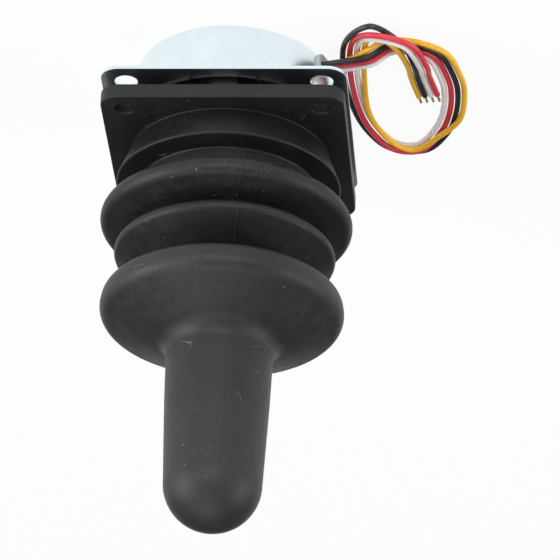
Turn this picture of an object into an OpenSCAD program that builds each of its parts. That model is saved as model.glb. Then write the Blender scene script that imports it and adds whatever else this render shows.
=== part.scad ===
// Panel-mounted two-axis industrial joystick with a rubber bellows boot.
// A deep-drawn steel can with a square flange carries a moulded gimbal housing. A lever on a
// two-axis gimbal swings a magnet over Hall sensors, and a torsion spring centres each axis.
// +Z runs up along the lever. The can's flat floor is at z = 0.

/* [Can and mounting flange] */
// Side of the square sheet-metal flange
plate_w = 57; // [56:0.5:60]
// Corner radius of the sheet-metal flange
plate_corner_r = 4.5; // [3:0.5:6]
// Thickness of the drawn sheet
sheet_t = 0.8; // [0.6:0.1:1]
// Height of the flange's front face above the can's floor
can_depth = 16; // [15.6:0.1:16.8]
// Outer radius of the can
can_r = 23; // [22.6:0.1:23.4]
// Radius of the drawn bend between the flange and the can's wall, on the rear side
mouth_bend_r = 4; // [3:0.25:4.25]
// Outer radius of the bend between the can's wall and its floor
floor_bend_r = 2; // [1.4:0.1:2.2]
// Pitch of the four mounting holes
hole_pitch = 45.5; // [43:0.5:46]
// Diameter of the holes in the sheet-metal flange
plate_hole_d = 5.4; // [4.5:0.1:6]

/* [Rubber boot] */
// Side of the square rubber flange
boot_w = 56.5; // [54:0.5:58]
// Corner radius of the rubber flange
boot_corner_r = 4.5; // [3:0.5:6]
// Thickness of the rubber flange
boot_flange_t = 3.5; // [3:0.1:4]
// Gap for the panel, between the two flanges
panel_gap = 3.9; // [3:0.1:5]
// Diameter of the holes in the rubber flange
boot_hole_d = 4.3; // [3.5:0.1:5]
// Wall thickness of the bellows
rubber_t = 1.3; // [1:0.1:1.6]
// Radius of the boot's conical foot at the flange
foot_r = 23.2; // [22.6:0.1:24]
// Radius of the sharp lip above the foot
lip_r = 26.4; // [25.6:0.1:27]
// Height of the lip above the rubber flange
lip_h = 8.2; // [7.8:0.1:8.4]
// Outer radius of the bellows' necks
neck_r = 20.8; // [20.6:0.1:21.4]
// Radius of the lower fold, to its corner before rounding
fold_1_r = 34; // [31:0.5:35]
// Height of the lower fold above the rubber flange
fold_1_h = 18.4; // [17.8:0.1:19]
// Rounding of the lower fold
fold_1_round = 2.5; // [2:0.1:3]
// Radius of the upper fold, to its corner before rounding
fold_2_r = 27.2; // [26.4:0.1:28.5]
// Height of the upper fold above the rubber flange
fold_2_h = 26.6; // [26:0.1:27.2]
// Rounding of the upper fold
fold_2_round = 2.2; // [1.8:0.1:2.4]

/* [Grip] */
// Radius of the skirt's corner, before rounding
skirt_r = 28.7; // [27.5:0.1:30]
// Height of the skirt's rear corner above the rubber flange
skirt_h = 39; // [38.6:0.1:39.6]
// Thickness of the skirt at its edge
skirt_edge = 4.3; // [3.9:0.1:5]
// Height above the rubber flange at which the skirt meets the handle
skirt_top_h = 50.2; // [49.8:0.1:51]
// Radius of the handle where it leaves the skirt
handle_r = 12.4; // [12:0.1:13]
// Radius of the handle at its tip
tip_r = 11.3; // [10.8:0.1:11.8]
// Height of the handle's tip above the rubber flange
tip_h = 96.4; // [92:0.5:100]
// Wall of the skirt
skirt_t = 1.6; // [1.3:0.1:2]
// Radius of the rigid core inside the handle
core_r = 9.2; // [8.6:0.1:9.4]

/* [Gimbal] */
// Height of both pivot axes above the can's floor
pivot_h = 15.8; // [15.6:0.1:16]
// Largest tilt of the lever on each axis, in degrees
tilt_max = 18; // [12:1:18]
// Radius of the pivot pins
pin_r = 1.5; // [1.3:0.1:1.6]
// Radial running clearance of the pivot pins in their bushes
running_gap = 0.05; // [0.02:0.01:0.1]
// Wall of the bronze bushes
bush_wall = 0.8; // [0.6:0.1:1]
// Inner half-length of the gimbal frame, along the fore-and-aft axis
frame_in_x = 9.5; // [9.3:0.1:9.7]
// Inner half-width of the gimbal frame, along the sideways axis
frame_in_y = 8.5; // [8.4:0.1:8.6]
// Wall of the gimbal frame
frame_wall = 2.5; // [2.3:0.1:2.6]
// Height of the gimbal frame
frame_h = 7; // [6.6:0.1:7.2]
// Radius of the lever's shaft
shaft_r = 3; // [2.6:0.1:3.2]
// Radius of the hub that carries the shaft
hub_r = 5; // [4.8:0.1:5.2]
// Half-width of the hub along its own pin
hub_half_w = 4; // [3.8:0.1:4.1]
// Radius of the housing's cavity round the gimbal
cavity_r = 16.8; // [16.6:0.1:17]
// Wire diameter of the centring springs
spring_wire = 0.8; // [0.7:0.05:0.85]
// Mean radius of the centring springs' coils
spring_r = 3; // [2.8:0.05:3.1]

/* [Electronics] */
// Thickness of the circuit board
board_t = 1; // [0.8:0.1:1.2]
// Radius of the circuit board
board_r = 18.2; // [17.6:0.1:18.3]
// Height of the circuit board's underside above the can's floor
board_z = 5.4; // [5.3:0.05:5.5]
// Diameter of the sensing magnet
magnet_d = 5; // [4:0.5:6]
// Thickness of the sensing magnet
magnet_t = 2; // [1.5:0.25:2]

/* [Leads] */
// Outer diameter of each hook-up wire
wire_d = 1.4; // [1.2:0.05:1.4]
// Length of the stripped and tinned end of each wire
tinned_len = 3; // [2:0.5:5]

/* [Hidden] */
$fn = 72;
eps = 0.01;
// Steps in each rounded corner of a profile
arc_steps = 6;
// How far a cut, or the root of a joined solid, runs past a face
over = 1;

// Can
can_in_r = can_r - sheet_t;
mouth_r = can_r + mouth_bend_r;
// Overlap of the flat flange and the bend
flange_lap = 0.6;
plate_back_z = can_depth - sheet_t;
hole_at = hole_pitch / 2;

// Boot levels
boot_back_z = can_depth + panel_gap;
boot_z = boot_back_z + boot_flange_t;
neck_1_h = lip_h + 0.6;
neck_1_top_h = neck_1_h + 4;
boot_split_h = neck_1_h + 2;
valley_r = neck_r + 1;
valley_h = 23.2;
valley_half = 0.9;
neck_2_r = neck_r + 0.2;
neck_2_h = 31.5;
sleeve_split_h = 33;
skirt_start_h = 35;
skirt_lean = 0.7;
neck_round = 1.5;
valley_round = 1.2;
// Lip: half the height of its edge, and how far its top slopes in
lip_edge = 0.2;
lip_slope = 0.3;
// Inside corner of the foot: in from the lip, down from the lip, and down from the neck
foot_wall = 2.4;
foot_roof = 2;
neck_drop = 1.6;
clamp_gap = 0.5;

// Housing levels and radii
rib_gap = 0.3;
rib_depth = 1.1;
rib_r = can_in_r - rib_gap;
drum_r = rib_r - rib_depth;
rib_w = 6;
rib_count = 12;
collar_r = 19.8;
upper_collar_r = 18.9;
gate_z = boot_z + 5.6;
gate_t = 1.5;
gate_gap = 0.3;
gate_r = upper_collar_r - gate_gap;
gate_corner_r = 2.5;
// The bosses stand this much above the collar, under the gate plate
gate_seat = 0.2;
clamp_t = 1.8;
clamp_r = 21.3;
board_top_z = board_z + board_t;
board_gap = 0.4;
board_pocket_r = board_r + board_gap;
sheet_film_t = 0.4;

// Screws: [shank radius, head radius, head height], and cross recess: [length, width, depth]
small_screw = [1, 1.9, 1.2];
small_recess = [2, 0.4, 0.6];
base_recess = [2.4, 0.5, 0.5];
screw_play = 0.1;
// Screws end this much short of their blind holes
screw_short = 0.3;
base_screw_r = 1.2;
base_head_r = 2.2;
base_boss_r = 2.4;
base_boss_at = 16.6;
base_angles = [0, 120, 240];
board_boss_r = 2.2;
board_boss_at = 15.4;
board_angles = [40, 160, 280];
gate_boss_r = 2.2;
gate_boss_at = 15.2;
board_boss_h = 2.2;
boss_top_z = board_top_z + board_boss_h;
// Rubber-side bosses, and the material that blind holes leave above them
gate_boss_h = 5.6;
gate_screw_depth = 4;
base_hole_floor = 1;
board_hole_floor = 0.4;

// Gimbal
bush_in_r = pin_r + running_gap;
bush_out_r = bush_in_r + bush_wall;
frame_out_x = frame_in_x + frame_wall;
frame_out_y = frame_in_y + frame_wall;
frame_corner_r = 4;
side_gap = 0.3;
lug_half = spring_r - spring_wire / 2 - 0.1;
lug_end = 15.8;
lug_gap = 0.4;
hub_lug_start = 2;
// Start of the housing's lug, clear of the frame
housing_lug_x = frame_out_x + 0.5;
bridge_gap = 0.6;
lug_low = [4.2, 6];
lug_high = [7, 8.2];
spring_turns = 3.5;
spring_len = 2.85;
spring_clear = 0.35;
coil_steps = 12;
spring_sides = 6;
leg_top = 7.9;
neck_rod_r = hub_r - 1;
hub_top = 9;
hub_bottom = 5;
shaft_seat = 3.4;
cup_h = 2.6;
spigot_h = 2;
spacer_r = 3;
spacer_gap = 0.7;
bush_gap = 0.3;
pin_end = drum_r - 0.6;
shaft_top_h = 72;

// Gate opening: it just clears the shaft at full tilt on both axes
gate_top = gate_z + gate_t - pivot_h;
stop_play = 0.4;
gate_half = gate_top * tan(tilt_max) / cos(tilt_max) + shaft_r / cos(tilt_max) + stop_play;

// Grip: roundings of the skirt, and where the handle's taper changes
skirt_low_round = 2.7;
skirt_edge_round = 3.7;
skirt_top_round = 2.5;
taper_h = 14;
taper_in = 0.3;
taper_round = 40;
seat_gap = 0.2;

// Grip core
core_round = 3;
core_flange_t = 2.5;
core_top_h = 85;
core_groove_w = 2;
core_groove_d = 0.8;
core_grooves_h = [56, 64, 72];
nut_t = 3.2;
nut_r = 5.77;
nut_chamfer = 0.4;

// Board parts
hall_at = 3.4;
hall_size = [1.5, 3, 0.85];
amplifier_at = [7, -2.5];
amplifier_size = [4, 5, 1.4];
chip_size = [1.2, 2, 0.7];
chip_pitch = 2.4;
// Rows of small chips: [first x, y, how many]
chip_rows = [[-4, 8, 4], [-4, -10, 3]];

// Leads
wire_r = wire_d / 2;
exit_angle = 200;
exit_dir = [cos(exit_angle), sin(exit_angle)];
exit_r = can_r + 0.6;
grommet_w = 6;
grommet_h = 3.4;
grommet_z = 2.7;
grommet_lip = 0.4;
lead_slot_gap = 0.8;
wire_sides = 8;
tinned_r = 0.35;
lead_starts = [13, 13, 13, 10.5];
// Place of each wire in the grommet: [sideways lane, height]
black_place = [1.7, 3.4];
red_place = [0, 3.4];
white_place = [-1.7, 3.4];
yellow_place = [-0.85, 1.95];
lead_places = [black_place, red_place, white_place, yellow_place];

// ---- Profiles ----
function unit(v) = v / norm(v);
function cross_2d(a, b) = a[0] * b[1] - a[1] * b[0];

// Tangent arc of radius f in the corner a-p-b; it shrinks where the sides are too short
function corner_arc(a, p, b, f) =
  let (
    u = unit(a - p),
    w = unit(b - p),
    half = acos(u * w) / 2,
    side = 0.7 * min(norm(a - p), norm(b - p)),
    r = min(f, side * tan(half)),
    c = p + unit(u + w) * r / sin(half),
    s = p + u * r / tan(half) - c,
    e = p + w * r / tan(half) - c,
    turn = atan2(cross_2d(s, e), s * e),
    start = atan2(s[1], s[0])
  )
  [for (i = [0:arc_steps]) c + r * [cos(start + turn * i / arc_steps), sin(start + turn * i / arc_steps)]];

// Polyline through corners [r, z, fillet], with the corners rounded
function rounded(v) = [
  for (i = [0:len(v) - 1])
    each v[i][2] == 0
      ? [[v[i][0], v[i][1]]]
      : corner_arc([v[i - 1][0], v[i - 1][1]], [v[i][0], v[i][1]], [v[i + 1][0], v[i + 1][1]], v[i][2])
];

function left_of(a, b) = let (d = unit(b - a)) [-d[1], d[0]];

// The same polyline, moved t to the left of its own direction
function shifted(p, t) = [
  for (i = [0:len(p) - 1])
    let (
      n0 = left_of(p[max(i - 1, 0)], p[max(i, 1)]),
      n1 = left_of(p[min(i, len(p) - 2)], p[min(i + 1, len(p) - 1)]),
      n = unit(n0 + n1)
    )
    p[i] + n * t / (n * n0)
];

function reversed(p) = [for (i = [len(p) - 1:-1:0]) p[i]];

// A revolved wall of thickness t, on the left of the profile p
module revolved_wall(p, t) {
  rotate_extrude() polygon(concat(p, reversed(shifted(p, t))));
}

// A square with rounded corners
module rounded_square(w, d, r) {
  for (s = [-1, 1]) {
    square([w - 2 * r, d], center = true);
    square([w, d - 2 * r], center = true);
    for (q = [-1, 1]) translate([s * (w / 2 - r), q * (d / 2 - r)]) circle(r);
  }
}

module at_mount_holes() {
  for (x = [-1, 1]) for (y = [-1, 1]) translate([x * hole_at, y * hole_at]) children();
}

module ring(r_out, r_in, h) {
  difference() {
    cylinder(r = r_out, h = h);
    translate([0, 0, -eps]) cylinder(r = r_in, h = h + 2 * eps);
  }
}

module at_polar(angles, r) {
  for (a = angles) rotate(a) translate([r, 0, 0]) children();
}

// ---- Sweeps ----
// Closed tube of radius r along the points p, with its rings squared to the axis ref
module tube(p, r, ref, sides) {
  n = len(p);
  rings = [
    for (i = [0:n - 1])
      let (
        t = unit(p[min(i + 1, n - 1)] - p[max(i - 1, 0)]),
        a = unit(cross(t, ref)),
        b = cross(a, t)
      )
      for (k = [0:sides - 1]) p[i] + r * (cos(360 * k / sides) * a + sin(360 * k / sides) * b)
  ];
  walls = [
    for (i = [0:n - 2]) for (k = [0:sides - 1])
      let (q = (k + 1) % sides)
      each [
        [i * sides + k, i * sides + q, (i + 1) * sides + q],
        [i * sides + k, (i + 1) * sides + q, (i + 1) * sides + k]
      ]
  ];
  first = [for (k = [sides - 1:-1:0]) k];
  last = [for (k = [0:sides - 1]) (n - 1) * sides + k];
  polyhedron(rings, concat(walls, [first, last]));
}

// ---- Can and housing ----
can_path = rounded([
  [mouth_r + flange_lap, can_depth, 0],
  [can_in_r, can_depth, mouth_bend_r + sheet_t],
  [can_in_r, sheet_t, floor_bend_r - sheet_t],
  [0, sheet_t, 0]
]);

module grommet_prism(grow, x0, x1) {
  h = grommet_h + 2 * grow;
  w = grommet_w + 2 * grow;
  rotate(exit_angle) translate([x0, 0, grommet_z]) rotate([90, 0, 90])
    linear_extrude(x1 - x0) {
      square([w - h, h], center = true);
      for (s = [-1, 1]) translate([s * (w - h) / 2, 0]) circle(h / 2);
    }
}

// Square flange and round can, drawn in one piece from zinc-plated sheet
module shield_can() color([0.88, 0.92, 0.93]) {
  difference() {
    union() {
      revolved_wall(can_path, sheet_t);
      translate([0, 0, plate_back_z]) linear_extrude(sheet_t) difference() {
        rounded_square(plate_w, plate_w, plate_corner_r);
        circle(mouth_r + flange_lap / 2);
      }
    }
    translate([0, 0, plate_back_z - eps]) linear_extrude(sheet_t + 2 * eps)
      at_mount_holes() circle(d = plate_hole_d);
    grommet_prism(0, drum_r, can_r + over);
    at_polar(base_angles, base_boss_at)
      cylinder(r1 = base_head_r, r2 = base_screw_r, h = sheet_t);
  }
}

// Moulded housing: drum with ribs, collar, bearing walls and screw bosses
module gimbal_housing() color([0.12, 0.12, 0.13]) {
  difference() {
    union() {
      difference() {
        union() {
          translate([0, 0, sheet_t]) cylinder(r = drum_r, h = boot_back_z - sheet_t);
          cylinder_to(collar_r, boot_back_z - over, boot_z);
          cylinder_to(upper_collar_r, boot_z - over, gate_z - gate_seat);
          drum_ribs();
        }
        cylinder_to(board_pocket_r, sheet_t - over, board_top_z);
        cylinder_to(cavity_r, sheet_t, gate_z + over);
      }
      at_polar(base_angles, base_boss_at) cylinder_to(base_boss_r, sheet_t, boss_top_z);
      at_polar(board_angles, board_boss_at) cylinder_to(board_boss_r, board_top_z, boss_top_z);
      at_polar([45:90:315], gate_boss_at) cylinder_to(gate_boss_r, gate_z - gate_boss_h, gate_z);
      translate([housing_lug_x, -lug_half, pivot_h + lug_high[0]])
        cube([cavity_r + over - housing_lug_x, 2 * lug_half, lug_high[1] - lug_high[0]]);
    }
    at_polar(base_angles, base_boss_at) 
      cylinder_to(base_screw_r, sheet_t - over, boss_top_z - base_hole_floor);
    at_polar(board_angles, board_boss_at) 
      cylinder_to(small_screw[0], board_z, boss_top_z - board_hole_floor);
    at_polar([45:90:315], gate_boss_at) 
      cylinder_to(small_screw[0], gate_z - gate_screw_depth, gate_z + over);
    for (a = [0, 180]) rotate(a) translate([cavity_r - over, 0, pivot_h]) rotate([0, 90, 0])
      cylinder(r = bush_out_r, h = rib_r - cavity_r + 2 * over);
    rotate(exit_angle) translate([cavity_r, -grommet_w / 2 - over, 0])
      cube([can_r - cavity_r, grommet_w + 2 * over, grommet_z + grommet_h / 2 + lead_slot_gap]);
  }
}

module cylinder_to(r, z0, z1) {
  translate([0, 0, z0]) cylinder(r = r, h = z1 - z0);
}

module drum_ribs() {
  intersection() {
    cylinder_to(rib_r, sheet_t + floor_bend_r, boot_back_z);
    for (i = [0:rib_count - 1]) rotate(i * 360 / rib_count)
      translate([drum_r - over, -rib_w / 2, 0]) cube([rib_r, rib_w, boot_back_z]);
  }
}

// Ring that holds the boot's inner edge down on the collar
module boot_clamp_ring() color([0.2, 0.2, 0.21])
  translate([0, 0, boot_z]) ring(clamp_r, upper_collar_r, clamp_t);

// Plate with the square opening that stops the shaft
module gate_plate() color([0.7, 0.7, 0.72]) translate([0, 0, gate_z])
  linear_extrude(gate_t) difference() {
    circle(gate_r);
    rounded_square(2 * gate_half, 2 * gate_half, gate_corner_r);
    for (a = [45:90:315]) rotate(a) translate([gate_boss_at, 0]) circle(small_screw[0] + screw_play);
  }

// Pan-head screw along +Z, with its head under z = 0 and its shank above
module pan_screw(shank, len) {
  cylinder(r = shank, h = len);
  mirror([0, 0, 1]) difference() {
    cylinder(r = small_screw[1], h = small_screw[2]);
    translate([0, 0, small_screw[2] - small_recess[2]]) cross_recess(small_recess);
  }
}

// Cross-shaped cut, from z = 0 up
module cross_recess(size) {
  for (a = [0, 90]) rotate(a)
    translate([-size[0] / 2, -size[1] / 2, 0]) cube([size[0], size[1], size[2] + eps]);
}

module gate_screws() color([0.75, 0.75, 0.77])
  at_polar([45:90:315], gate_boss_at) translate([0, 0, gate_z + gate_t]) mirror([0, 0, 1])
    pan_screw(small_screw[0], gate_t + gate_screw_depth - screw_short);

module board_screws() color([0.75, 0.75, 0.77])
  at_polar(board_angles, board_boss_at) translate([0, 0, board_z])
    pan_screw(small_screw[0], boss_top_z - board_hole_floor - screw_short - board_z);

// Countersunk screws, flush with the can's floor
module base_screws() color([0.75, 0.75, 0.77])
  at_polar(base_angles, base_boss_at) difference() {
    union() {
      cylinder(r1 = base_head_r, r2 = base_screw_r, h = sheet_t);
      cylinder(r = base_screw_r, h = boss_top_z - base_hole_floor - screw_short);
    }
    translate([0, 0, -eps]) cross_recess(base_recess);
  }

// ---- Boot ----
foot_path = [
  [foot_r, boot_z],
  [lip_r, boot_z + lip_h - lip_edge],
  [lip_r - lip_slope, boot_z + lip_h + lip_edge],
  [neck_r, boot_z + neck_1_h],
  [neck_r, boot_z + boot_split_h]
];

// Square flange, conical foot and sharp lip, the fixed part of the boot
module boot_flange() color([0.16, 0.16, 0.17]) {
  translate([0, 0, boot_back_z]) linear_extrude(boot_flange_t) difference() {
    rounded_square(boot_w, boot_w, boot_corner_r);
    circle(collar_r);
    at_mount_holes() circle(d = boot_hole_d);
  }
  rotate_extrude() polygon(concat(foot_path, [
    [neck_r - rubber_t, boot_z + boot_split_h],
    [neck_r - rubber_t, boot_z + neck_1_h - neck_drop],
    [lip_r - foot_wall, boot_z + lip_h - foot_roof],
    [clamp_r + clamp_gap, boot_z]
  ]));
}

// Lower fold of the boot
module lower_bellows() color([0.16, 0.16, 0.17])
  revolved_wall(rounded([
    [neck_r, boot_z + boot_split_h, 0],
    [neck_r, boot_z + neck_1_top_h, neck_round],
    [fold_1_r, boot_z + fold_1_h, fold_1_round],
    [valley_r, boot_z + valley_h - valley_half, valley_round],
    [valley_r, boot_z + valley_h, 0]
  ]), rubber_t);

// Upper fold of the boot
module upper_bellows() color([0.16, 0.16, 0.17])
  revolved_wall(rounded([
    [valley_r, boot_z + valley_h, 0],
    [valley_r, boot_z + valley_h + valley_half, valley_round],
    [fold_2_r, boot_z + fold_2_h, fold_2_round],
    [neck_2_r, boot_z + neck_2_h, neck_round],
    [neck_2_r, boot_z + sleeve_split_h, 0]
  ]), rubber_t);

// ---- Grip ----
skirt_corners = [
  [neck_2_r, boot_z + sleeve_split_h, 0],
  [neck_2_r, boot_z + skirt_start_h, neck_round],
  [skirt_r - skirt_lean, boot_z + skirt_h, skirt_low_round],
  [skirt_r, boot_z + skirt_h + skirt_edge, skirt_edge_round],
  [handle_r, boot_z + skirt_top_h, 0]
];
skirt_inside = shifted(rounded(skirt_corners), skirt_t);
roof = skirt_inside[len(skirt_inside) - 1];
core_flange_r = roof[0] - seat_gap;
core_z = roof[1] - core_flange_t;
sleeve_inside = concat(
  [for (i = [0:len(skirt_inside) - 1]) skirt_inside[i]],
  [[0, roof[1]], [0, boot_z + sleeve_split_h]]
);

function sleeve_outside() = concat(
  rounded(concat(
    [for (i = [0:3]) skirt_corners[i]],
    [
      [handle_r, boot_z + skirt_top_h, skirt_top_round],
      [handle_r - taper_in, boot_z + skirt_top_h + taper_h, taper_round],
      [tip_r, boot_z + tip_h - tip_r, 0]
    ]
  )),
  [for (a = [7.5:7.5:90]) [tip_r * cos(a), boot_z + tip_h - tip_r + tip_r * sin(a)]]
);

// Rubber skirt and handle, moulded in one piece over the core
module grip_sleeve() color([0.17, 0.17, 0.18]) difference() {
  rotate_extrude() polygon(concat(sleeve_outside(), [[0, boot_z + sleeve_split_h]]));
  rotate_extrude() polygon(sleeve_inside);
  core_body();
}

module core_body() {
  top = boot_z + core_top_h;
  difference() {
    rotate_extrude() polygon(concat(
      [[0, core_z], [core_flange_r, core_z], [core_flange_r, roof[1]], [core_r, roof[1]]],
      [for (a = [0:10:90]) [core_r, top] + core_round * [cos(a) - 1, sin(a) - 1]],
      [[0, top]]
    ));
    for (h = core_grooves_h) translate([0, 0, boot_z + h])
      ring(core_r + over, core_r - core_groove_d, core_groove_w);
  }
}

// Rigid core of the handle, bored for the shaft
module grip_core() color([0.3, 0.3, 0.32]) difference() {
  core_body();
  cylinder_to(shaft_r, core_z - over, boot_z + shaft_top_h);
}

module lever_shaft() color([0.72, 0.73, 0.75])
  cylinder_to(shaft_r, pivot_h + shaft_seat, boot_z + shaft_top_h);

// Jam nut under the core
module lock_nut() color([0.72, 0.73, 0.75]) translate([0, 0, core_z - nut_t]) difference() {
  intersection() {
    cylinder(r = nut_r, h = nut_t, $fn = 6);
    cylinder(r1 = nut_r - nut_chamfer, r2 = nut_r + nut_t - nut_chamfer, h = nut_t);
  }
  cylinder_to(shaft_r, -over, nut_t + over);
}

// ---- Gimbal ----
// Everything about the pivots is drawn from the crossing point of both axes
module at_pivot() {
  translate([0, 0, pivot_h]) children();
}

module along_x(x0, x1) {
  translate([x0, 0, 0]) rotate([0, 90, 0]) linear_extrude(x1 - x0) children();
}

module along_y(y0, y1) {
  translate([0, y1, 0]) rotate([90, 0, 0]) linear_extrude(y1 - y0) children();
}

// Hub on the sideways axis; its lug works the sideways spring
module lever_hub() color([0.6, 0.6, 0.62]) at_pivot() difference() {
  union() {
    along_y(-hub_half_w, hub_half_w) circle(hub_r);
    cylinder_to(neck_rod_r, -hub_bottom, hub_top);
    translate([-lug_half, hub_lug_start, lug_low[0]])
      cube([2 * lug_half, frame_in_y - lug_gap - hub_lug_start, lug_low[1] - lug_low[0]]);
  }
  along_y(-hub_half_w - over, hub_half_w + over) circle(bush_out_r);
  cylinder_to(shaft_r, shaft_seat, hub_top + over);
  cylinder_to(magnet_d / 2, -hub_bottom - over, -hub_bottom + spigot_h);
}

module hub_bushes() color([0.72, 0.55, 0.3]) at_pivot() for (s = [0, 180]) rotate(s)
  along_y(bush_gap, hub_half_w) difference() {
    circle(bush_out_r);
    circle(bush_in_r);
  }

// Frame that turns on the fore-and-aft pins and carries the sideways pin
module gimbal_frame() color([0.55, 0.56, 0.58]) at_pivot() difference() {
  union() {
    translate([0, 0, -frame_h / 2]) linear_extrude(frame_h) difference() {
      rounded_square(2 * frame_out_x, 2 * frame_out_y, frame_corner_r);
      rounded_square(2 * frame_in_x, 2 * frame_in_y, frame_corner_r - frame_wall);
    }
    // Lug for the fore-and-aft spring
    translate([frame_in_x, -lug_half, 0])
      cube([frame_wall, 2 * lug_half, lug_low[1]]);
    translate([frame_in_x, -lug_half, lug_low[0]])
      cube([lug_end - frame_in_x, 2 * lug_half, lug_low[1] - lug_low[0]]);
    // Bridge that holds the sideways spring
    translate([-lug_half, frame_in_y, 0]) cube([2 * lug_half, frame_wall, lug_high[1]]);
    translate([-lug_half, hub_half_w + bridge_gap, lug_high[0]])
      cube([2 * lug_half, frame_out_y - hub_half_w - bridge_gap, lug_high[1] - lug_high[0]]);
  }
  along_x(-frame_out_x - over, frame_out_x + over) circle(pin_r);
  along_y(-frame_out_y - over, frame_out_y + over) circle(pin_r);
}

module side_pin() color([0.8, 0.8, 0.82]) at_pivot() along_y(-frame_out_y, frame_out_y) circle(pin_r);

module fore_aft_pins() color([0.8, 0.8, 0.82]) at_pivot() for (s = [0, 180]) rotate(s)
  along_x(frame_in_x, pin_end) circle(pin_r);

module fore_aft_bushes() color([0.72, 0.55, 0.3]) at_pivot() for (s = [0, 180]) rotate(s)
  along_x(cavity_r, drum_r) difference() {
    circle(bush_out_r);
    circle(bush_in_r);
  }

// Sleeves that take the room of a spring on the far side of each axis
module pivot_spacers() color([0.72, 0.55, 0.3]) at_pivot() {
  along_x(-cavity_r + spacer_gap, -frame_out_x) difference() {
    circle(spacer_r);
    circle(pin_r);
  }
  along_y(-frame_in_y, -hub_half_w - side_gap) difference() {
    circle(spacer_r);
    circle(pin_r);
  }
}

// Torsion spring round the X axis from x = 0, with both legs standing up
module torsion_spring() {
  steps = coil_steps * spring_turns;
  coil = [
    for (i = [0:steps])
      let (a = -360 * i / coil_steps)
      [spring_len * i / steps, spring_r * cos(a), spring_r * sin(a)]
  ];
  tube(
    concat([[0, spring_r, leg_top]], coil, [[spring_len, -spring_r, leg_top]]),
    spring_wire / 2, [1, 0, 0], spring_sides
  );
}

module fore_aft_spring() color([0.8, 0.8, 0.82]) at_pivot()
  translate([frame_out_x + spring_clear + spring_wire / 2, 0, 0]) torsion_spring();

module side_spring() color([0.8, 0.8, 0.82]) at_pivot() rotate(90)
  translate([hub_half_w + spring_clear + spring_wire / 2, 0, 0]) torsion_spring();

// ---- Sensing ----
module magnet_holder() color([0.9, 0.9, 0.85]) at_pivot() difference() {
  union() {
    cylinder_to(neck_rod_r, -hub_bottom - cup_h, -hub_bottom);
    cylinder_to(magnet_d / 2, -hub_bottom - over, -hub_bottom + spigot_h);
  }
  cylinder_to(magnet_d / 2, -hub_bottom - cup_h - over, -hub_bottom - cup_h + magnet_t);
}

module sensing_magnet() color([0.65, 0.66, 0.68]) at_pivot()
  cylinder_to(magnet_d / 2, -hub_bottom - cup_h, -hub_bottom - cup_h + magnet_t);

module board_outline(r) {
  difference() {
    circle(r);
    at_polar(base_angles, base_boss_at) circle(base_boss_r + board_gap);
  }
}

module circuit_board() color([0.1, 0.4, 0.2]) translate([0, 0, board_z])
  linear_extrude(board_t) difference() {
    board_outline(board_r);
    at_polar(board_angles, board_boss_at) circle(small_screw[0] + screw_play);
  }

// Four sensor packages round the magnet's axis
module hall_sensors() color([0.08, 0.08, 0.08]) at_polar([0:90:270], hall_at)
  translate([-hall_size[0] / 2, -hall_size[1] / 2, board_top_z]) cube(hall_size);

module board_parts() color([0.08, 0.08, 0.08]) {
  translate([amplifier_at[0], amplifier_at[1], board_top_z]) cube(amplifier_size);
  // Capacitors and resistors
  for (row = chip_rows) for (i = [0:row[2] - 1])
    translate([row[0] + chip_pitch * i, row[1], board_top_z]) cube(chip_size);
}

module insulating_sheet() color([0.85, 0.75, 0.4]) translate([0, 0, sheet_t])
  linear_extrude(sheet_film_t) board_outline(board_r);

// ---- Leads ----
// Places a child at each wire's axis in the grommet
module at_leads() {
  for (p = lead_places) translate([0, p[0], p[1]]) children();
}

module wire_grommet() color([0.8, 0.8, 0.78]) difference() {
  union() {
    grommet_prism(0, drum_r, exit_r);
    difference() {
      grommet_prism(grommet_lip, drum_r, exit_r);
      cylinder(r = can_r, h = can_depth);
    }
  }
  rotate(exit_angle) at_leads() along_x(drum_r - over, exit_r + over) circle(wire_r);
}

// Leads between the board and the grommet, each with its soldered end
module inner_leads() color([0.7, 0.3, 0.2]) rotate(exit_angle) for (i = [0:3]) {
  p = lead_places[i];
  translate([0, p[0], p[1]]) along_x(lead_starts[i], exit_r) circle(wire_r);
  translate([lead_starts[i] + wire_r, p[0], p[1]]) cylinder(r = wire_r / 2, h = board_z - p[1]);
}

// Route of the four-wire bundle on the standing surface: out of the grommet, once round, under
// its own start, back over it, and into the loop
bundle_route = [
  exit_r * exit_dir, [-27, -10], [-33, -12], [-37.5, -13.5], [-43, -13], [-48.5, -9], [-51, -1],
  [-52, 7], [-51, 17], [-48, 26], [-43, 33], [-37, 32], [-32.5, 24.5], [-29.8, 14], [-28.5, 0],
  [-29.5, -14.5], [-34, -20], [-40.5, -17.5], [-44, -8.5], [-44.5, 0], [-46, 9]
];
// Each wire's place in the bundle at those points: [outward lane, height of its axis]
black_lay = [
  black_place, [1.7, 3.8], [1.6, 3.7], [1, 1.2], [0.8, 0.7], [0.8, 0.7], [0.8, 0.7],
  [0.8, 0.7], [1.1, 0.7], [1.8, 0.7], [2.2, 0.7], [2.4, 0.7], [2.4, 0.7], [2.4, 0.7], [2.4, 0.7],
  [2.4, 0.7], [2.4, 0.7], [-0.2, 2.3], [-1.1, 2.4], [-1.1, 0.8], [-1.1, 0.7]
];
red_lay = [
  red_place, [0, 3.8], [-0.1, 3.7], [-0.6, 1.2], [-0.8, 0.7], [-0.8, 0.7], [-0.8, 0.7],
  [-0.8, 0.7], [-0.5, 0.7], [0.1, 0.7], [0.4, 1.6], [0.7, 1.9], [0.7, 1.9], [0.7, 1.9],
  [0.8, 0.8], [0.8, 0.7], [1.2, 2.4], [2.7, 3.9], [2, 3.3], [1.9, 1.1], [1.9, 0.7]
];
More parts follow.
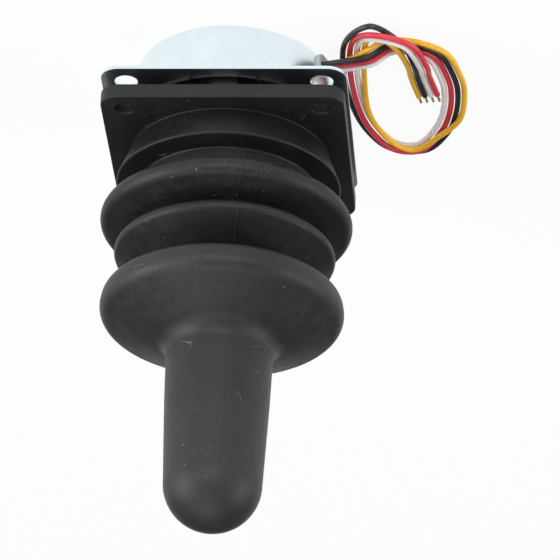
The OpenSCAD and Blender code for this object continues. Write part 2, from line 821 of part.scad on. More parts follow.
white_lay = [
  white_place, [-1.7, 3.8], [-1.7, 3.7], [-2.2, 1.2], [-2.4, 0.7], [-2.4, 0.7], [-2.4, 0.7],
  [-2.4, 0.7], [-2.1, 0.7], [-1.7, 0.7], [-1.2, 0.7], [-0.5, 0.7], [-0.5, 0.7], [-0.5, 0.7],
  [-0.8, 0.7], [-0.8, 0.7], [-0.8, 2.4], [1, 3.9], [0.4, 3.3], [0.4, 1.1], [0.4, 0.7]
];
yellow_lay = [
  yellow_place, [-0.6, 2.3], [2.1, 2.2], [2.6, 0.7], [2.4, 0.7], [2.4, 0.7], [2.4, 0.7],
  [2.4, 0.7], [2.1, 2.2], [-0.6, 2.4], [-1.4, 2.2], [-1.4, 2], [-1.4, 2], [-1.4, 2],
  [-2.4, 0.8], [-2.4, 0.7], [-2.3, 0.9], [-1.9, 3], [-2.6, 2.6], [-2.6, 0.8], [-2.6, 0.7]
];

// Points of one wire, from its place beside the bundle's route
function wire_points(lay) = [
  for (i = [0:len(bundle_route) - 1])
    let (
      ahead = bundle_route[min(i + 1, len(bundle_route) - 1)] - bundle_route[max(i - 1, 0)],
      t = i == 0 ? exit_dir : unit(ahead),
      xy = bundle_route[i] + lay[i][0] * [-t[1], t[0]]
    )
    [xy[0], xy[1], lay[i][1]]
];

module wire(lay) {
  tube(wire_points(lay), wire_r, [0, 0, 1], wire_sides);
}

module black_wire() color([0.1, 0.1, 0.1]) wire(black_lay);

module red_wire() color([0.85, 0.15, 0.18]) wire(red_lay);

module white_wire() color([0.93, 0.93, 0.93]) wire(white_lay);

module yellow_wire() color([0.97, 0.72, 0.12]) wire(yellow_lay);

// Stripped and tinned ends, in line with each wire
module tinned_ends() color([0.8, 0.72, 0.6]) for (lay = [black_lay, red_lay, white_lay, yellow_lay]) {
  p = wire_points(lay);
  last = p[len(p) - 1];
  way = unit(last - p[len(p) - 2]);
  tube([last, last + tinned_len * [way[0], way[1], 0]], tinned_r, [0, 0, 1], wire_sides);
}

shield_can();
gimbal_housing();
boot_flange();
lower_bellows();
upper_bellows();
grip_sleeve();
grip_core();
lever_shaft();
lock_nut();
lever_hub();
hub_bushes();
gimbal_frame();
side_pin();
fore_aft_pins();
fore_aft_bushes();
pivot_spacers();
fore_aft_spring();
side_spring();
boot_clamp_ring();
gate_plate();
gate_screws();
base_screws();
circuit_board();
board_screws();
hall_sensors();
board_parts();
insulating_sheet();
magnet_holder();
sensing_magnet();
inner_leads();
wire_grommet();
black_wire();
red_wire();
white_wire();
yellow_wire();
tinned_ends();
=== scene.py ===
import math

import bmesh
import bpy
from mathutils import Matrix, Vector


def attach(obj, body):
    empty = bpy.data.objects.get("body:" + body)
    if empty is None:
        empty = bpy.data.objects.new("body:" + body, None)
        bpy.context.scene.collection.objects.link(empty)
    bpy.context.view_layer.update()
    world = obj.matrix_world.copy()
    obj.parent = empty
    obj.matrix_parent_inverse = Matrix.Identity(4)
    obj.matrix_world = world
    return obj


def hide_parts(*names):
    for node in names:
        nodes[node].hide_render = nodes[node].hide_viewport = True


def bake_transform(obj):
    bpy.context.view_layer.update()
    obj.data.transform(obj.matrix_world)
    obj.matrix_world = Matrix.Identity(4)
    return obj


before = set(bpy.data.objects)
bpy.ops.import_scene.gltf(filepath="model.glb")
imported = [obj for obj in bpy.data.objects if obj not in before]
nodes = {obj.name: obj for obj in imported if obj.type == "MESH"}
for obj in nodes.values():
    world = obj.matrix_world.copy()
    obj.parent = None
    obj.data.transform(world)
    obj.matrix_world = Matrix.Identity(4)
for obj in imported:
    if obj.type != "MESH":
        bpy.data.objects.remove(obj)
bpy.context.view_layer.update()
scene = bpy.context.scene
scene.view_settings.view_transform = "Standard"
MM = 0.001

# ---------------------------------------------------------------- camera
# A long lens from the near side, upside down, so that the lever points down in the picture
CAMERA_AT = (-0.09611, -0.92092, 0.55736)
CAMERA_RIGHT = (-0.9969, 0.0674, -0.0411)
CAMERA_UP = (0.0038, -0.4785, -0.8781)
CAMERA_BACK = (-0.0789, -0.8755, 0.4768)

camera_data = bpy.data.cameras.new("camera")
camera_data.lens = 292.14
camera_data.sensor_width = 36
camera_data.clip_start = 0.05
camera_data.clip_end = 30
camera = bpy.data.objects.new("camera", camera_data)
scene.collection.objects.link(camera)
turn = Matrix((CAMERA_RIGHT, CAMERA_UP, CAMERA_BACK))
turn = turn.transposed().to_quaternion().to_matrix().to_4x4()
camera.matrix_world = Matrix.Translation(CAMERA_AT) @ turn
scene.camera = camera


# ---------------------------------------------------------------- materials
class Look:
    """A node material, with short helpers for its texture nodes."""

    def __init__(self, name, colour, roughness, metallic=0.0, specular=0.5):
        self.mat = bpy.data.materials.new(name)
        self.mat.use_nodes = True
        self.nt = self.mat.node_tree
        self.shader = self.nt.nodes["Principled BSDF"]
        self.set("Base Color", (*colour, 1))
        self.set("Roughness", roughness)
        self.set("Metallic", metallic)
        self.set("Specular IOR Level", specular)
        self.coords = self.nt.nodes.new("ShaderNodeTexCoord").outputs["Object"]

    def set(self, socket, value):
        self.shader.inputs[socket].default_value = value
        return self

    def link(self, a, b):
        self.nt.links.new(a, b)

    def plug(self, socket, value):
        """Links a texture's output to one of the shader's sockets."""
        self.link(value, self.shader.inputs[socket])

    def feed(self, socket, value):
        """Gives a texture node's input a link or a constant."""
        if isinstance(value, (int, float)):
            socket.default_value = value
        elif isinstance(value, tuple):
            socket.default_value = (*value, 1) if len(value) == 3 else value
        else:
            self.link(value, socket)

    def noise(self, scale, detail=3, rough=0.6, distortion=0.0, vector=None):
        n = self.nt.nodes.new("ShaderNodeTexNoise")
        self.link(vector or self.coords, n.inputs["Vector"])
        n.inputs["Scale"].default_value = scale
        n.inputs["Detail"].default_value = detail
        n.inputs["Roughness"].default_value = rough
        n.inputs["Distortion"].default_value = distortion
        return n.outputs["Fac"]

    def voronoi(self, scale):
        n = self.nt.nodes.new("ShaderNodeTexVoronoi")
        self.link(self.coords, n.inputs["Vector"])
        n.inputs["Scale"].default_value = scale
        return n.outputs["Distance"], n.outputs["Color"]

    def stretched(self, scale):
        n = self.nt.nodes.new("ShaderNodeMapping")
        self.link(self.coords, n.inputs["Vector"])
        n.inputs["Scale"].default_value = scale
        return n.outputs["Vector"]

    def span(self, value, low, high, a=0.0, b=1.0):
        """Maps value from low..high to a..b, clamped."""
        n = self.nt.nodes.new("ShaderNodeMapRange")
        self.feed(n.inputs["Value"], value)
        for key, number in (("From Min", low), ("From Max", high), ("To Min", a), ("To Max", b)):
            n.inputs[key].default_value = number
        return n.outputs["Result"]

    def math(self, kind, a, b=0.0):
        n = self.nt.nodes.new("ShaderNodeMath")
        n.operation = kind
        self.feed(n.inputs[0], a)
        self.feed(n.inputs[1], b)
        return n.outputs[0]

    def mix(self, share, a, b):
        n = self.nt.nodes.new("ShaderNodeMix")
        n.data_type = "RGBA"
        self.feed(n.inputs["Factor"], share)
        self.feed(n.inputs[6], a)
        self.feed(n.inputs[7], b)
        return n.outputs[2]

    def bump(self, height, distance, strength=1.0, under=None):
        n = self.nt.nodes.new("ShaderNodeBump")
        self.link(height, n.inputs["Height"])
        n.inputs["Distance"].default_value = distance
        n.inputs["Strength"].default_value = strength
        if under is not None:
            self.link(under, n.inputs["Normal"])
        return n.outputs["Normal"]


def rubber(name, dark, light, dust_colour, dust, low_z, high_z):
    """Moulded black rubber with pale specks, lint and a film of dust, which grows from low_z to high_z."""
    k = Look(name, dark, 0.5, specular=0.4)
    broad = k.noise(48, 4, 0.6)
    grain = k.noise(2600, 2, 0.6)
    mottle = k.noise(320, 5, 0.7)
    tone = k.mix(k.span(broad, 0.35, 0.7), dark, light)
    film = k.math("MULTIPLY", k.span(mottle, 0.42, 0.75), k.span(broad, 0.4, 0.72))
    split = k.nt.nodes.new("ShaderNodeSeparateXYZ")
    k.link(k.coords, split.inputs[0])
    height = k.span(split.outputs["Z"], low_z, high_z, 0.25, 1)
    film = k.math("MULTIPLY", k.math("MULTIPLY", film, height), dust)
    tone = k.mix(film, tone, dust_colour)
    near, cell = k.voronoi(420)
    picked = k.math("MULTIPLY", k.span(cell, 0.66, 0.68), k.span(near, 0.04, 0.075, 1, 0))
    near, cell = k.voronoi(1500)
    dots = k.math("MULTIPLY", k.span(cell, 0.78, 0.8), k.span(near, 0.1, 0.2, 1, 0))
    dots = k.math("MULTIPLY", dots, k.span(broad, 0.48, 0.62, 0.04, 0.7))
    line = k.math("ABSOLUTE", k.math("SUBTRACT", k.noise(70, 1, 0.5, 1.2), 0.5))
    scattered = k.span(k.noise(150, 1, 0.5), 0.66, 0.69)
    lint = k.math("MULTIPLY", k.span(line, 0.0008, 0.0025, 1, 0), scattered)
    marks = k.math("MAXIMUM", k.math("MAXIMUM", picked, dots), k.math("MULTIPLY", lint, 0.5))
    tone = k.mix(k.math("MULTIPLY", marks, 0.6), tone, (0.4, 0.4, 0.39))
    k.plug("Base Color", tone)
    rough = k.math("ADD", k.span(mottle, 0.3, 0.7, 0.46, 0.56), k.math("MULTIPLY", film, 0.5))
    k.plug("Roughness", rough)
    soft = k.bump(k.noise(240, 3, 0.5), 0.00006, 0.5)
    k.plug("Normal", k.bump(grain, 0.000025, 0.6, soft))
    return k.mat


def plated(name, colour, low, high):
    """Bright zinc plating on drawn sheet: soft mottling, fine drawing marks and a few dull specks."""
    k = Look(name, colour, low, 1.0)
    broad = k.noise(60, 4, 0.6)
    marks = k.noise(1, 3, 0.6, vector=k.stretched((40, 40, 900)))
    pale = tuple(min(1, c * 1.03) for c in colour)
    dull = tuple(c * 0.94 for c in colour)
    tone = k.mix(k.span(broad, 0.3, 0.7), dull, pale)
    near, cell = k.voronoi(900)
    pits = k.math("MULTIPLY", k.span(cell, 0.86, 0.88), k.span(near, 0.08, 0.16, 1, 0))
    tone = k.mix(k.math("MULTIPLY", pits, 0.5), tone, (0.16, 0.17, 0.18))
    k.plug("Base Color", tone)
    rough = k.math("ADD", k.span(broad, 0.3, 0.7, low, high), k.math("MULTIPLY", pits, 0.3))
    k.plug("Roughness", rough)
    k.plug("Normal", k.bump(marks, 0.000002, 0.4))
    return k.mat


def plain(name, colour, low, high, metallic=0.0, vary=0.18, grain=900, depth=0.00002, specular=0.5):
    """Moulded, cast or turned surface with a slight change of tone, gloss and grain."""
    k = Look(name, colour, low, metallic, specular)
    broad = k.noise(70, 4, 0.6)
    fine = k.noise(grain, 3, 0.65)
    a = tuple(c * (1 - vary) for c in colour)
    b = tuple(min(1, c * (1 + vary)) for c in colour)
    k.plug("Base Color", k.mix(k.span(broad, 0.3, 0.7), a, b))
    k.plug("Roughness", k.span(fine, 0.3, 0.7, low, high))
    k.plug("Normal", k.bump(fine, depth, 0.6))
    return k.mat


def pvc(name, colour, vary=0.06, specular=0.5, deep=0.0):
    """Extruded PVC insulation: satin, with faint scuffs and dust."""
    k = Look(name, colour, 0.35, specular=specular)
    if deep:
        k.set("Subsurface Weight", deep)
        k.set("Subsurface Radius", (1.0, 0.85, 0.8))
        k.set("Subsurface Scale", 0.0006)
    k.set("Coat Weight", 0.15)
    k.set("Coat Roughness", 0.25)
    broad = k.noise(180, 3, 0.6)
    fine = k.noise(1500, 3, 0.6)
    a = tuple(c * (1 - vary) for c in colour)
    b = tuple(min(1, c * (1 + vary)) for c in colour)
    tone = k.mix(k.span(broad, 0.3, 0.7), a, b)
    scuff = k.math("MULTIPLY", k.span(fine, 0.62, 0.75), 0.18)
    tone = k.mix(scuff, tone, tuple(0.6 * c + 0.25 for c in colour))
    k.plug("Base Color", tone)
    k.plug("Roughness", k.span(fine, 0.3, 0.75, 0.28, 0.48))
    k.plug("Normal", k.bump(k.noise(420, 2, 0.5), 0.00004, 0.5))
    return k.mat


boot_black = rubber(
    "boot_black", (0.0065, 0.007, 0.0085), (0.0095, 0.01, 0.012), (0.13, 0.127, 0.125), 0.2, 0.0212, 0.0612
)
grip_black = rubber(
    "grip_black", (0.0155, 0.0155, 0.018), (0.022, 0.022, 0.025), (0.13, 0.125, 0.118), 0.16, 0.0912, 0.0712
)
zinc = plated("zinc", (0.79, 0.89, 0.93), 0.24, 0.27)
screw_zinc = plated("screw_zinc", (0.7, 0.72, 0.75), 0.3, 0.42)
nylon_black = plain("nylon_black", (0.03, 0.03, 0.032), 0.45, 0.6, grain=1400)
core_nylon = plain("core_nylon", (0.1, 0.1, 0.11), 0.45, 0.6)
polished = plain("polished", (0.66, 0.67, 0.69), 0.12, 0.22, 1.0, 0.05, 2200, 0.000006)
cast = plain("cast", (0.47, 0.48, 0.5), 0.42, 0.58, 1.0, 0.12, 1100, 0.00004)
bronze = plain("bronze", (0.55, 0.36, 0.16), 0.3, 0.45, 1.0, 0.14, 1600)
drawn = plain("drawn", (0.55, 0.56, 0.58), 0.22, 0.32, 1.0, 0.08, 2400, 0.00001)
stamped = plain("stamped", (0.62, 0.63, 0.65), 0.26, 0.38, 1.0, 0.08, 700)
mask_green = plain("mask_green", (0.015, 0.13, 0.05), 0.28, 0.4, vary=0.12)
epoxy = plain("epoxy", (0.03, 0.03, 0.032), 0.5, 0.65, grain=1800)
amber_film = plain("amber_film", (0.62, 0.4, 0.1), 0.2, 0.3, vary=0.06)
natural = plain("natural", (0.78, 0.75, 0.66), 0.4, 0.52, vary=0.04)
nickel = plain("nickel", (0.62, 0.61, 0.58), 0.16, 0.24, 1.0, 0.05)
seal_grey = plain("seal_grey", (0.6, 0.61, 0.6), 0.45, 0.6, vary=0.08, grain=1700)
tinned = plain("tinned", (0.72, 0.52, 0.36), 0.3, 0.42, 1.0, 0.15, 3000)
lead_red = pvc("lead_red", (0.5, 0.03, 0.03))
wire_looks = {
    "black": pvc("black_sleeve", (0.013, 0.013, 0.014)),
    "red": pvc("red_sleeve", (0.7, 0.03, 0.05)),
    "white": pvc("white_sleeve", (0.86, 0.83, 0.81), deep=0.35),
    "yellow": pvc("yellow_sleeve", (0.9, 0.48, 0.015)),
}

CAD_LOOKS = {
    "shield_can": zinc,
    "gimbal_housing": nylon_black,
    "grip_core": core_nylon,
    "lever_shaft": polished,
    "lock_nut": screw_zinc,
    "lever_hub": cast,
    "hub_bushes": bronze,
    "gimbal_frame": cast,
    "side_pin": polished,
    "fore_aft_pins": polished,
    "fore_aft_bushes": bronze,
    "pivot_spacers": bronze,
    "fore_aft_spring": drawn,
    "side_spring": drawn,
    "boot_clamp_ring": nylon_black,
    "gate_plate": stamped,
    "gate_screws": screw_zinc,
    "base_screws": screw_zinc,
    "circuit_board": mask_green,
    "board_screws": screw_zinc,
    "hall_sensors": epoxy,
    "board_parts": epoxy,
    "insulating_sheet": amber_film,
    "magnet_holder": natural,
    "sensing_magnet": nickel,
    "inner_leads": lead_red,
    "wire_grommet": seal_grey,
}
for name, look in CAD_LOOKS.items():
    mesh = nodes[name].data
    mesh.materials.clear()
    mesh.materials.append(look)


# ---------------------------------------------------------------- cords
# Route of the bundle on the standing surface, in millimetres, and each wire's [lane, height] along it
EXIT_ANGLE = math.radians(200)
EXIT_R = 23.6
EXIT = (EXIT_R * math.cos(EXIT_ANGLE), EXIT_R * math.sin(EXIT_ANGLE))
ROUTE = [
    EXIT, (-27, -10), (-33, -12), (-37.5, -13.5), (-43, -13), (-48.5, -9), (-51, -1),
    (-52, 7), (-51, 17), (-48, 26), (-43, 33), (-37, 32), (-32.5, 24.5), (-29.8, 14), (-28.5, 0),
    (-29.5, -14.5), (-34, -20), (-40.5, -17.5), (-44, -8.5), (-44.5, 0), (-46, 9),
]
LAYS = {
    "black": [
        (1.7, 3.4), (1.7, 3.8), (1.6, 3.7), (1, 1.2), (0.8, 0.7), (0.8, 0.7), (0.8, 0.7),
        (0.8, 0.7), (1.1, 0.7), (1.8, 0.7), (2.2, 0.7), (2.4, 0.7), (2.4, 0.7), (2.4, 0.7), (2.4, 0.7),
        (2.4, 0.7), (2.4, 0.7), (-0.2, 2.3), (-1.1, 2.4), (-1.1, 0.8), (-1.1, 0.7),
    ],
    "red": [
        (0, 3.4), (0, 3.8), (-0.1, 3.7), (-0.6, 1.2), (-0.8, 0.7), (-0.8, 0.7), (-0.8, 0.7),
        (-0.8, 0.7), (-0.5, 0.7), (0.1, 0.7), (0.4, 1.6), (0.7, 1.9), (0.7, 1.9), (0.7, 1.9),
        (0.8, 0.8), (0.8, 0.7), (1.2, 2.4), (2.7, 3.9), (2, 3.3), (1.9, 1.1), (1.9, 0.7),
    ],
    "white": [
        (-1.7, 3.4), (-1.7, 3.8), (-1.7, 3.7), (-2.2, 1.2), (-2.4, 0.7), (-2.4, 0.7), (-2.4, 0.7),
        (-2.4, 0.7), (-2.1, 0.7), (-1.7, 0.7), (-1.2, 0.7), (-0.5, 0.7), (-0.5, 0.7), (-0.5, 0.7),
        (-0.8, 0.7), (-0.8, 0.7), (-0.8, 2.4), (1, 3.9), (0.4, 3.3), (0.4, 1.1), (0.4, 0.7),
    ],
    "yellow": [
        (-0.85, 1.95), (-0.6, 2.3), (2.1, 2.2), (2.6, 0.7), (2.4, 0.7), (2.4, 0.7), (2.4, 0.7),
        (2.4, 0.7), (2.1, 2.2), (-0.6, 2.4), (-1.4, 2.2), (-1.4, 2), (-1.4, 2), (-1.4, 2),
        (-2.4, 0.8), (-2.4, 0.7), (-2.3, 0.9), (-1.9, 3), (-2.6, 2.6), (-2.6, 0.8), (-2.6, 0.7),
    ],
}
WIRE_D = 1.4

# Bare end: its length, the part of it inside the insulation, and its strands
TIP_LEN = 3
TIP_INSIDE = 0.3
TIP_STEPS = 14
TIP_TWIST = 200
STRAND_R = 0.11
STRAND_PITCH_R = 0.23


def wire_points(lay):
    """Points of one wire, from its place beside the bundle's route."""
    points = []
    last = len(ROUTE) - 1
    for i, (lane, height) in enumerate(lay):
        a, b = Vector(ROUTE[max(i - 1, 0)]), Vector(ROUTE[min(i + 1, last)])
        way = Vector((math.cos(EXIT_ANGLE), math.sin(EXIT_ANGLE))) if i == 0 else (b - a).normalized()
        at = Vector(ROUTE[i]) + lane * Vector((-way.y, way.x))
        points.append(Vector((at.x, at.y, height)))
    return points


def eased(points, steps):
    """A smooth curve through the points (Catmull-Rom), kept on or above the standing surface."""
    full = [2 * points[0] - points[1]] + points + [2 * points[-1] - points[-2]]
    line = []
    for p0, p1, p2, p3 in zip(full, full[1:], full[2:], full[3:]):
        for s in range(steps):
            t = s / steps
            line.append(
                0.5 * (2 * p1 + (p2 - p0) * t + (2 * p0 - 5 * p1 + 4 * p2 - p3) * t * t
                       + (3 * p1 - p0 - 3 * p2 + p3) * t * t * t)
            )
    line.append(points[-1].copy())
    for point in line:
        point.z = max(point.z, WIRE_D / 2)
    return line


def add(name, data, look=None):
    obj = bpy.data.objects.new(name, data)
    scene.collection.objects.link(obj)
    if look:
        data.materials.append(look)
    return obj


def strand_mesh(bm, line, radius, sides=8):
    """Adds a closed round tube along a line of points to a bmesh."""
    rings = []
    for i, p in enumerate(line):
        way = (line[min(i + 1, len(line) - 1)] - line[max(i - 1, 0)]).normalized()
        side = way.cross(Vector((0, 0, 1))).normalized()
        rise = side.cross(way)
        rings.append([
            bm.verts.new((p + radius * (math.cos(a) * side + math.sin(a) * rise)) * MM)
            for a in (2 * math.pi * k / sides for k in range(sides))
        ])
    for a, b in zip(rings, rings[1:]):
        for k in range(sides):
            q = (k + 1) % sides
            bm.faces.new((a[k], a[q], b[q], b[k]))
    bm.faces.new(rings[0][::-1])
    bm.faces.new(rings[-1])


def tip_mesh(start, way):
    """Tinned copper strands: a straight one in the middle and six twisted round it."""
    bm = bmesh.new()
    side = way.cross(Vector((0, 0, 1))).normalized()
    rise = side.cross(way)
    strand_mesh(bm, [start - way * TIP_INSIDE, start + way * (TIP_LEN - 0.05)], 0.12)
    for k in range(6):
        line = []
        for i in range(TIP_STEPS + 1):
            t = i / TIP_STEPS
            a = math.radians(60 * k + TIP_TWIST * t)
            along = way * (-TIP_INSIDE + (TIP_LEN + TIP_INSIDE - 0.1 * (k % 3)) * t)
            line.append(start + along + STRAND_PITCH_R * (math.cos(a) * side + math.sin(a) * rise))
        strand_mesh(bm, line, STRAND_R)
    bmesh.ops.recalc_face_normals(bm, faces=bm.faces[:])
    mesh = bpy.data.meshes.new("tip")
    bm.to_mesh(mesh)
    bm.free()
    mesh.shade_smooth()
    return mesh


for colour, lay in LAYS.items():
    corners = wire_points(lay)
    line = eased(corners, 7)
    curve = bpy.data.curves.new(colour + "_lead", "CURVE")
    curve.dimensions = "3D"
    curve.bevel_depth = WIRE_D / 2 * MM
    curve.bevel_resolution = 5
    curve.use_fill_caps = True
    spline = curve.splines.new("POLY")
    spline.points.add(len(line) - 1)
    for point, at in zip(spline.points, line):
        point.co = (*(at * MM), 1)
    lead = add(colour + "_lead", curve, wire_looks[colour])
    way = (corners[-1] - corners[-2]).normalized()
    way.z = 0
    tip = add(colour + "_tip", tip_mesh(corners[-1], way.normalized()), tinned)
    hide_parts("tinned_ends")
    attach(tip, "base")
    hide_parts(colour + "_wire")
    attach(lead, "base")


# ---------------------------------------------------------------- rubber boot and grip
# Levels in millimetres: the rubber flange's two faces, and where the boot's pieces meet
BOOT_Z = 23.4
BACK_Z = 19.9
FOOT_TOP = BOOT_Z + 10.8
VALLEY = BOOT_Z + 23.2
NECK = BOOT_Z + 33.6
FOOT_TOP_R = 20.8
VALLEY_R = 20
NECK_R = 17.5
RUBBER_T = 1.3


def arc_corner(a, p, b, fillet, steps=12):
    """Tangent arc in the corner a-p-b."""
    u, w = (a - p).normalized(), (b - p).normalized()
    half = math.acos(max(-1, min(1, u.dot(w)))) / 2
    side = 0.7 * min((a - p).length, (b - p).length)
    r = min(fillet, side * math.tan(half))
    c = p + (u + w).normalized() * r / math.sin(half)
    s = p + u * r / math.tan(half) - c
    e = p + w * r / math.tan(half) - c
    full = math.atan2(s.x * e.y - s.y * e.x, s.dot(e))
    start = math.atan2(s.y, s.x)
    angles = [start + full * i / steps for i in range(steps + 1)]
    return [c + r * Vector((math.cos(t), math.sin(t))) for t in angles]


def rounded(corners, steps=12):
    """Polyline through (radius, z, fillet) corners, rounded."""
    flat = [Vector(c[:2]) for c in corners]
    out = []
    for i, c in enumerate(corners):
        out += arc_corner(flat[i - 1], flat[i], flat[i + 1], c[2], steps) if c[2] else [flat[i]]
    return out


def shifted(p, t):
    """The polyline moved t to the left of its own direction."""
    out = []
    for i in range(len(p)):
        d0 = (p[max(i, 1)] - p[max(i - 1, 0)]).normalized()
        d1 = (p[min(i + 1, len(p) - 1)] - p[min(i, len(p) - 2)]).normalized()
        n0, n1 = Vector((-d0.y, d0.x)), Vector((-d1.y, d1.x))
        n = (n0 + n1).normalized()
        out.append(p[i] + n * t / n.dot(n0))
    return out


# Mould parting line: a fine ridge down both sides of the boot
SEAMS = (-102.0, 78.0)
SEAM_STEPS = ((-0.7, 0.0), (-0.36, 0.0), (-0.12, 0.1), (0.12, 0.1), (0.36, 0.0), (0.7, 0.0))
TURNS = 160
# The parting line wanders: degrees either way, and radians for each millimetre of height
SWAY = 0.8
SWAY_PER_MM = 0.9


def turn_list(seam_height):
    """Angles of the revolved pieces, and how far the surface stands proud at each."""
    stops = {round(360 * i / TURNS - 180, 3): 0.0 for i in range(TURNS)}
    for seam in SEAMS:
        stops = {a: h for a, h in stops.items() if abs(a - seam) > 1.2}
        for step, height in SEAM_STEPS:
            stops[round(seam + step, 3)] = height * seam_height / 0.1
    return sorted(stops.items())


def smooth_by_angle(mesh, limit=32):
    """Smooth faces, with the edges sharper than the limit kept."""
    mesh.shade_smooth()
    bm = bmesh.new()
    bm.from_mesh(mesh)
    for edge in bm.edges:
        edge.smooth = len(edge.link_faces) == 2 and edge.calc_face_angle(0) < math.radians(limit)
    bm.to_mesh(mesh)
    bm.free()


def revolved(name, outer, inner, look, seam_height=0.13):
    """A revolved piece: outer goes up the outside, inner comes back down inside it."""
    bm = bmesh.new()
    turns = turn_list(seam_height)
    rows = []
    for k, p in enumerate(list(outer) + list(inner)):
        if p.x < 1e-6:
            rows.append([bm.verts.new((0, 0, p.y * MM))])
            continue
        row = []
        drift = SWAY * math.sin(SWAY_PER_MM * p.y)
        for angle, proud in turns:
            a = math.radians(angle + drift)
            r = p.x
            z = p.y
            if proud and 0 < k < len(outer) - 1:
                along = (outer[k + 1] - outer[k - 1]).normalized()
                r += along.y * proud
                z -= along.x * proud
            row.append(bm.verts.new((r * math.cos(a) * MM, r * math.sin(a) * MM, z * MM)))
        rows.append(row)
    rows.append(rows[0])
    for a, b in zip(rows, rows[1:]):
        n = max(len(a), len(b))
        if n == 1:
            continue
        for i in range(n):
            j = (i + 1) % n
            face = [a[i % len(a)], a[j % len(a)], b[j % len(b)], b[i % len(b)]]
            face = [v for q, v in enumerate(face) if v not in face[:q]]
            bm.faces.new(face)
    bmesh.ops.recalc_face_normals(bm, faces=bm.faces[:])
    mesh = bpy.data.meshes.new(name)
    bm.to_mesh(mesh)
    bm.free()
    smooth_by_angle(mesh)
    return add(name, mesh, look)


def walled(corners, t):
    path = rounded(corners)
    return path, shifted(path, t)[::-1]


# Lower fold, from the foot's neck to the valley
outer, inner = walled([
    (FOOT_TOP_R, FOOT_TOP, 0), (FOOT_TOP_R, BOOT_Z + 12.8, 1.5), (34.6, BOOT_Z + 18.4, 2.5),
    (VALLEY_R, BOOT_Z + 22.6, 0.8), (VALLEY_R, VALLEY, 0),
], RUBBER_T)
lower_fold = revolved("lower_fold", outer, inner, boot_black)
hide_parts("lower_bellows")
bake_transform(lower_fold)

# Upper fold, from the valley to the skirt's neck
outer, inner = walled([
    (VALLEY_R, VALLEY, 0), (VALLEY_R, BOOT_Z + 23.7, 0.6), (27.9, BOOT_Z + 26.1, 1.6),
    (NECK_R, BOOT_Z + 32.9, 1), (NECK_R, NECK, 0),
], RUBBER_T)
upper_fold = revolved("upper_fold", outer, inner, boot_black)
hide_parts("upper_bellows")
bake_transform(upper_fold)

# Skirt and handle over the rigid core
SKIRT = [
    (NECK_R, NECK, 0), (NECK_R, BOOT_Z + 34.6, 0.8), (27.8, BOOT_Z + 37.8, 2.7),
    (28.7, BOOT_Z + 43.3, 3.7), (12.4, BOOT_Z + 50.2, 5),
]
TIP_R = 11.3
TIP_Z = BOOT_Z + 96.4 - TIP_R
inside = shifted(rounded(SKIRT[:4] + [(12.4, BOOT_Z + 50.2, 0)]), 1.6)
roof = inside[-1]
handle = rounded(SKIRT + [(12.1, BOOT_Z + 64.2, 40), (TIP_R, TIP_Z, 0)])
for i in range(1, 24):
    a = math.radians(3.75 * i)
    handle.append(Vector((TIP_R * math.cos(a), TIP_Z + TIP_R * math.sin(a))))
handle.append(Vector((0, TIP_Z + TIP_R)))
CORE_R = 9.2
CORE_TOP = BOOT_Z + 85
CORE_ROUND = 3
core = [Vector((0, CORE_TOP))]
for i in range(7):
    a = math.radians(15 * i)
    shift = Vector((math.sin(a) - 1, math.cos(a) - 1)) * CORE_ROUND
    core.append(Vector((CORE_R, CORE_TOP)) + shift)
core += [Vector((CORE_R, roof.y)), Vector((roof.x - 0.2, roof.y))]
grip = revolved("grip", handle, core + inside[::-1], grip_black, 0.02)
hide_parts("grip_sleeve")
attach(grip, "lever")


def square_outline(half, corner, steps=10):
    points = []
    straight = half - corner
    for k, (sx, sy) in enumerate(((1, 1), (-1, 1), (-1, -1), (1, -1))):
        for i in range(steps + 1):
            a = math.radians(90 * k + 90 * i / steps)
            points.append((sx * straight + corner * math.cos(a), sy * straight + corner * math.sin(a)))
    return points


def circle_outline(x, y, r, steps):
    angles = [2 * math.pi * i / steps for i in range(steps)]
    return [(x + r * math.cos(a), y + r * math.sin(a)) for a in angles]


def slab(name, outlines, z0, z1, edge):
    """A flat plate with holes, with its edges rounded by edge."""
    curve = bpy.data.curves.new(name, "CURVE")
    curve.dimensions = "2D"
    curve.fill_mode = "BOTH"
    curve.extrude = ((z1 - z0) / 2 - edge) * MM
    curve.bevel_depth = edge * MM
    curve.bevel_resolution = 3
    curve.offset = -edge * MM
    for outline in outlines:
        spline = curve.splines.new("POLY")
        spline.points.add(len(outline) - 1)
        spline.use_cyclic_u = True
        for point, (x, y) in zip(spline.points, outline):
            point.co = (x * MM, y * MM, 0, 1)
    obj = add(name + "_outline", curve)
    bpy.context.view_layer.update()
    shaped = obj.evaluated_get(bpy.context.evaluated_depsgraph_get())
    mesh = bpy.data.meshes.new_from_object(shaped)
    bpy.data.objects.remove(obj)
    mesh.transform(Matrix.Translation((0, 0, (z0 + z1) / 2 * MM)))
    return mesh


# Flange with rounded edges, conical foot with a sharp lip, and a small moulded rib
FLANGE_W = 56.5
FLANGE_CORNER = 4.5
COLLAR_R = 19.8
HOLE_AT = 22.75
HOLE_R = 2.15
RIB_SIZE = (0.25, 2.6, 0.3)
RIB_AT = (-24.7, -14.6, BOOT_Z)
outlines = [square_outline(FLANGE_W / 2, FLANGE_CORNER), circle_outline(0, 0, COLLAR_R, 120)]
for sx in (-1, 1):
    outlines += [circle_outline(sx * HOLE_AT, sy * HOLE_AT, HOLE_R, 40) for sy in (-1, 1)]
flange_mesh = slab("flange", outlines, BACK_Z, BOOT_Z, 0.3)
foot_outer = rounded([
    (24.1, BOOT_Z - 0.1, 0), (23.25, BOOT_Z + 0.15, 0.2),
    (26.4, BOOT_Z + 8.1, 0.35), (26.05, BOOT_Z + 8.45, 0.2),
    (FOOT_TOP_R, BOOT_Z + 8.8, 0.5), (FOOT_TOP_R, FOOT_TOP, 0),
])
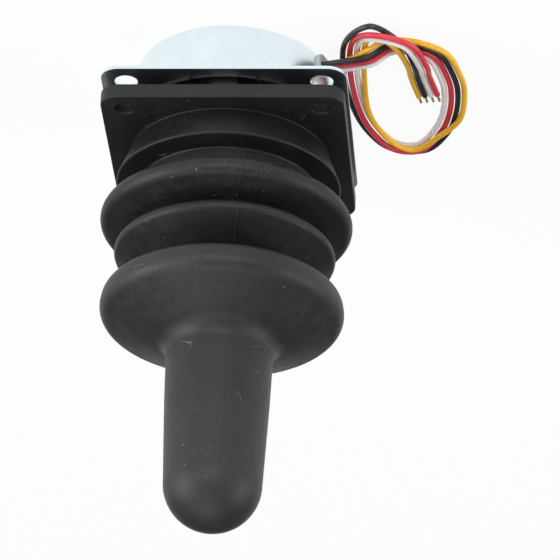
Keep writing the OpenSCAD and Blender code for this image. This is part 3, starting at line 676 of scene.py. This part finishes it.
foot_inner = [
    Vector((19.5, FOOT_TOP)), Vector((19.5, BOOT_Z + 7.2)), Vector((24, BOOT_Z + 6.2)),
    Vector((21.8, BOOT_Z + 0.1)), Vector((21.8, BOOT_Z - 0.1)),
]
foot = revolved("foot", foot_outer, foot_inner, boot_black)
bm = bmesh.new()
bm.from_mesh(flange_mesh)
bm.from_mesh(foot.data)
rib = bmesh.ops.create_cube(bm, size=1)["verts"]
bmesh.ops.scale(bm, vec=Vector(RIB_SIZE) * MM, verts=rib)
bmesh.ops.translate(bm, vec=Vector(RIB_AT) * MM, verts=rib)
bmesh.ops.remove_doubles(bm, verts=bm.verts[:], dist=1e-7)
joined = bpy.data.meshes.new("flange_and_foot")
bm.to_mesh(joined)
bm.free()
bpy.data.objects.remove(foot)
smooth_by_angle(joined, 40)
flange = add("flange_and_foot", joined, boot_black)
keep_flat = flange.modifiers.new("even_faces", "WEIGHTED_NORMAL")
keep_flat.keep_sharp = True
keep_flat.weight = 100
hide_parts("boot_flange")
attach(flange, "base")


# ---------------------------------------------------------------- floor, world and lamps
def stage_look(name, colour, shown):
    """A floor that is white to the camera and in reflections, and keeps soft shadows."""
    mat = bpy.data.materials.new(name)
    mat.use_nodes = True
    nt = mat.node_tree
    nt.nodes.clear()
    out = nt.nodes.new("ShaderNodeOutputMaterial")
    blend = nt.nodes.new("ShaderNodeMixShader")
    matt = nt.nodes.new("ShaderNodeBsdfDiffuse")
    glow = nt.nodes.new("ShaderNodeEmission")
    rays = nt.nodes.new("ShaderNodeLightPath")
    matt.inputs["Color"].default_value = (*colour, 1)
    glow.inputs["Strength"].default_value = 1
    seen = nt.nodes.new("ShaderNodeMath")
    seen.operation = "MULTIPLY"
    seen.inputs[1].default_value = shown
    mirrored = nt.nodes.new("ShaderNodeMath")
    mirrored.operation = "MAXIMUM"
    both = nt.nodes.new("ShaderNodeMath")
    both.operation = "MAXIMUM"
    nt.links.new(rays.outputs["Is Camera Ray"], seen.inputs[0])
    nt.links.new(rays.outputs["Is Glossy Ray"], mirrored.inputs[0])
    nt.links.new(rays.outputs["Is Transmission Ray"], mirrored.inputs[1])
    nt.links.new(seen.outputs[0], both.inputs[0])
    nt.links.new(mirrored.outputs[0], both.inputs[1])
    nt.links.new(both.outputs[0], blend.inputs[0])
    nt.links.new(matt.outputs[0], blend.inputs[1])
    nt.links.new(glow.outputs[0], blend.inputs[2])
    nt.links.new(blend.outputs[0], out.inputs["Surface"])
    return mat


floor_mesh = bpy.data.meshes.new("floor")
floor_mesh.from_pydata([(-8, -8, 0), (8, -8, 0), (8, 8, 0), (-8, 8, 0)], [], [(0, 1, 2, 3)])
floor = add("floor", floor_mesh, stage_look("floor_white", (0.9, 0.9, 0.9), 0.92))
floor.location.z = -0.00005

world = bpy.data.worlds.new("world")
scene.world = world
world.use_nodes = True
wt = world.node_tree
sky = wt.nodes["Background"]
sky.inputs["Color"].default_value = (1, 1, 1, 1)
sky.inputs["Strength"].default_value = 0.16


def lamp(name, place, aim, size, power):
    data = bpy.data.lights.new(name, "AREA")
    data.shape = "RECTANGLE"
    data.size, data.size_y = size
    data.energy = power
    obj = bpy.data.objects.new(name, data)
    scene.collection.objects.link(obj)
    obj.location = place
    obj.rotation_euler = (Vector(aim) - Vector(place)).to_track_quat("-Z", "Y").to_euler()
    return obj


lamp("key", (1.15, -0.5, 0.45), (0, 0, 0.05), (1.1, 0.8), 14)
lamp("side", (-1.1, -0.15, 0.45), (0, 0, 0.06), (1, 0.8), 7)
lamp("front", (-0.05, -1.25, 0.14), (0, 0, 0.03), (1, 0.22), 6)
lamp("top", (0.2, -0.2, 1.4), (0, 0, 0.05), (1.3, 1.3), 9)
